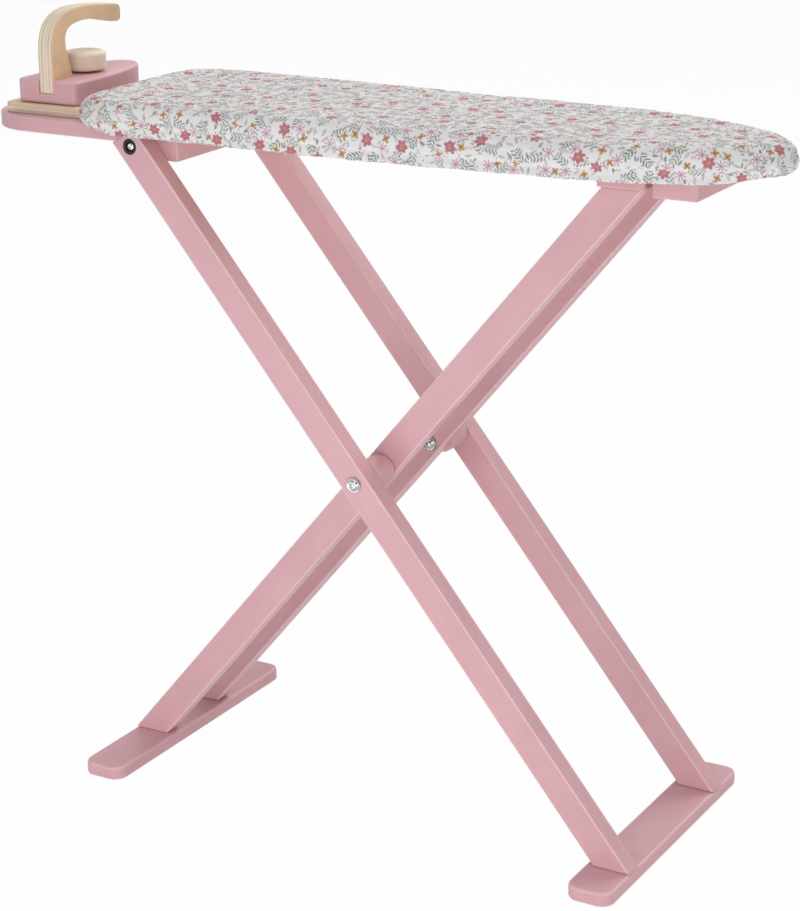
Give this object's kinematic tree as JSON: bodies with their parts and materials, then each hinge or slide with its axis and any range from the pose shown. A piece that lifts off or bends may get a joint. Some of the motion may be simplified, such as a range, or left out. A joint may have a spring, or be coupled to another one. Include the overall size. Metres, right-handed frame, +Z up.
{
  "type": "toy ironing board",
  "caption": "Wooden toy ironing board with a padded fabric-covered top on a folding scissor frame, and a toy iron standing on the rest plate at its square end.",
  "frame": {"origin": "on the floor under the middle of the object's length and width", "axes": "+X along the board towards its rounded nose, +Y across the board towards the far side of the picture, +Z up"},
  "size_m": [0.6134, 0.226, 0.5645],
  "materials": {
    "pink_paint": "satin pink paint over solid wood and plywood",
    "plywood": "clear-coated birch plywood with striped edges",
    "beech": "clear-coated turned beech",
    "cover_cloth": "off-white woven cotton with a small flower print",
    "padding": "soft felted padding",
    "hem_elastic": "flat woven elastic",
    "black_washer": "black plastic cup washer",
    "steel": "zinc-plated steel"
  },
  "bodies": {
    "outer_frame": {"outer_leg_front": "pink_paint", "outer_leg_back": "pink_paint", "outer_foot": "pink_paint", "spacer_front": "pink_paint", "spacer_back": "pink_paint", "cross_bolt_front": "steel", "cross_bolt_back": "steel", "cross_nut_front": "steel", "cross_nut_back": "steel", "outer_foot_screw_front": "steel", "outer_foot_screw_back": "steel"},
    "inner_frame": {"inner_leg_front": "pink_paint", "inner_leg_back": "pink_paint", "inner_foot": "pink_paint", "inner_crossbar": "pink_paint", "inner_foot_screw_front": "steel", "inner_foot_screw_back": "steel", "crossbar_screw_front": "steel", "crossbar_screw_back": "steel"},
    "board": {"board_panel": "plywood", "board_padding": "padding", "board_cover": "cover_cloth", "hem_elastic": "hem_elastic", "iron_rest": "pink_paint", "pivot_batten": "pink_paint", "stop_batten": "pink_paint", "pivot_bolt_front": "steel", "pivot_bolt_back": "steel", "pivot_insert_front": "steel", "pivot_insert_back": "steel", "pivot_washer_front": "black_washer", "pivot_washer_back": "black_washer", "pivot_batten_screw_1": "steel", "pivot_batten_screw_2": "steel", "pivot_batten_screw_3": "steel", "stop_batten_screw_1": "steel", "stop_batten_screw_2": "steel", "rest_screw_1": "steel", "rest_screw_2": "steel", "rest_screw_3": "steel", "rest_screw_4": "steel"},
    "iron": {"iron_sole": "plywood", "iron_body": "pink_paint", "iron_handle": "plywood", "knob_axle": "beech", "iron_sole_screw_1": "steel", "iron_sole_screw_2": "steel"},
    "iron_knob": {"iron_knob": "beech"}
  },
  "joints": [
    {"name": "leg_fold", "type": "hinge", "parent": "outer_frame", "child": "inner_frame", "pos_m": [0.02114, 0, 0.25819], "axis": [0, -1, 0], "range_deg": [0, 57.8]},
    {"name": "board_pivot", "type": "hinge", "parent": "outer_frame", "child": "board", "pos_m": [-0.15875, 0, 0.48], "axis": [0, -1, 0], "range_deg": [0, 34]},
    {"name": "iron_lift", "type": "slide", "parent": "board", "child": "iron", "axis": [0, 0, 1], "range_m": [0, 0.09]},
    {"name": "knob_turn", "type": "hinge", "parent": "iron", "child": "iron_knob", "pos_m": [-0.25375, -0.0015, 0.524], "axis": [0, 0, 1], "continuous": true}
  ],
  "couplings": [
    {"joint": "board_pivot", "follows": "leg_fold", "ratio": 0.58823}
  ]
}
